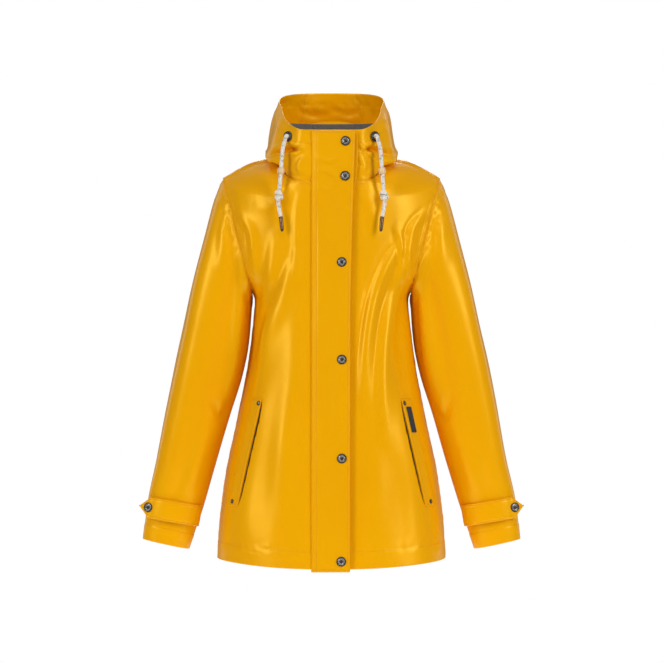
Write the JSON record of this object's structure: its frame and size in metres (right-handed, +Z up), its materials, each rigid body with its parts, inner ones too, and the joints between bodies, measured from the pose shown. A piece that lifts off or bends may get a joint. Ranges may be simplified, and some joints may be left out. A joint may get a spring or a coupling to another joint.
{
  "type": "foul weather jacket",
  "caption": "Hooded hip-length foul weather jacket in coated yellow cloth, with a snapped storm flap over a zip, slanted pockets, cuff tabs and beaded hood drawcords.",
  "frame": {"origin": "middle of the underside of the hanger loop, inside the back of the neck, where a hook carries the jacket", "axes": "+X towards the wearer's left, +Y towards the wearer's back, +Z up; the front of the jacket faces -Y"},
  "size_m": [0.6934, 0.3009, 0.8574],
  "materials": {
    "coated_cloth": "smooth polyurethane-coated cloth, satin gloss",
    "grey_lining": "grey knitted lining",
    "zip_tape": "woven zip tape",
    "zip_teeth": "moulded plastic teeth",
    "dark_metal": "antique gunmetal",
    "braided_cord": "round braided cotton cord",
    "pale_wood": "smooth pale wood",
    "dark_label": "plain woven label"
  },
  "bodies": {
    "jacket_body": {"right_front_panel": "coated_cloth", "left_front_panel": "coated_cloth", "back_panel": "coated_cloth", "body_lining": "grey_lining", "hood_right_panel": "coated_cloth", "hood_left_panel": "coated_cloth", "hood_centre_panel": "coated_cloth", "back_neck_facing": "grey_lining", "hanger_loop": "grey_lining", "pocket_side_label": "dark_label", "right_zip_tape": "zip_tape", "right_zip_teeth": "zip_teeth", "left_zip_tape": "zip_tape", "left_zip_teeth": "zip_teeth", "zip_bottom_box": "dark_metal", "underlap_placket": "coated_cloth", "snap_stud_1": "dark_metal", "snap_stud_2": "dark_metal", "snap_stud_3": "dark_metal", "snap_stud_4": "dark_metal", "snap_stud_5": "dark_metal", "snap_stud_6": "dark_metal", "right_pocket_welt": "coated_cloth", "right_pocket_bag": "grey_lining", "right_pocket_rivet_top": "dark_metal", "right_pocket_rivet_bottom": "dark_metal", "right_eyelet": "dark_metal", "right_drawcord": "braided_cord", "right_cord_knot": "braided_cord", "right_cord_tip": "dark_metal", "left_pocket_welt": "coated_cloth", "left_pocket_bag": "grey_lining", "left_pocket_rivet_top": "dark_metal", "left_pocket_rivet_bottom": "dark_metal", "left_eyelet": "dark_metal", "left_drawcord": "braided_cord", "left_cord_knot": "braided_cord", "left_cord_tip": "dark_metal"},
    "storm_flap": {"storm_flap": "coated_cloth", "snap_cap_1": "dark_metal", "snap_cap_2": "dark_metal", "snap_cap_3": "dark_metal", "snap_cap_4": "dark_metal", "snap_cap_5": "dark_metal", "snap_cap_6": "dark_metal"},
    "zip_slider": {"zip_slider": "dark_metal"},
    "zip_pull": {"zip_pull": "dark_metal"},
    "right_sleeve": {"right_sleeve": "coated_cloth", "right_sleeve_lining": "grey_lining", "right_cuff_snap_stud": "dark_metal"},
    "right_cuff_tab": {"right_cuff_tab": "coated_cloth", "right_cuff_snap_cap": "dark_metal"},
    "right_cord_bead": {"right_cord_bead": "pale_wood"},
    "left_sleeve": {"left_sleeve": "coated_cloth", "left_sleeve_lining": "grey_lining", "left_cuff_snap_stud": "dark_metal"},
    "left_cuff_tab": {"left_cuff_tab": "coated_cloth", "left_cuff_snap_cap": "dark_metal"},
    "left_cord_bead": {"left_cord_bead": "pale_wood"}
  },
  "joints": [
    {"name": "storm_flap_hinge", "type": "hinge", "parent": "jacket_body", "child": "storm_flap", "pos_m": [-0.03527, -0.17979, -0.38501], "axis": [0, -0.0785, -0.9969], "range_deg": [0, 120]},
    {"name": "zip_slide", "type": "slide", "parent": "jacket_body", "child": "zip_slider", "axis": [0, -0.0785, -0.9969], "range_m": [0, 0.73]},
    {"name": "zip_pull_hinge", "type": "hinge", "parent": "zip_slider", "child": "zip_pull", "pos_m": [0, -0.15008, -0.03125], "axis": [-1, 0, 0], "range_deg": [0, 6]},
    {"name": "right_shoulder", "type": "hinge", "parent": "jacket_body", "child": "right_sleeve", "pos_m": [-0.197, -0.05833, -0.082], "axis": [0, 1, 0], "range_deg": [0, 70]},
    {"name": "right_cuff_tab_hinge", "type": "hinge", "parent": "right_sleeve", "child": "right_cuff_tab", "pos_m": [-0.23898, -0.0767, -0.69212], "axis": [0.1668, 0, 0.986], "range_deg": [0, 100]},
    {"name": "right_bead_slide", "type": "slide", "parent": "jacket_body", "child": "right_cord_bead", "axis": [-0.0791, -0.1266, -0.9888], "range_m": [-0.022, 0.024]},
    {"name": "left_shoulder", "type": "hinge", "parent": "jacket_body", "child": "left_sleeve", "pos_m": [0.197, -0.05833, -0.082], "axis": [0, -1, 0], "range_deg": [0, 70]},
    {"name": "left_cuff_tab_hinge", "type": "hinge", "parent": "left_sleeve", "child": "left_cuff_tab", "pos_m": [0.23898, -0.0767, -0.69212], "axis": [0.1668, 0, -0.986], "range_deg": [0, 100]},
    {"name": "left_bead_slide", "type": "slide", "parent": "jacket_body", "child": "left_cord_bead", "axis": [0.0791, -0.1266, -0.9888], "range_m": [-0.022, 0.024]}
  ]
}
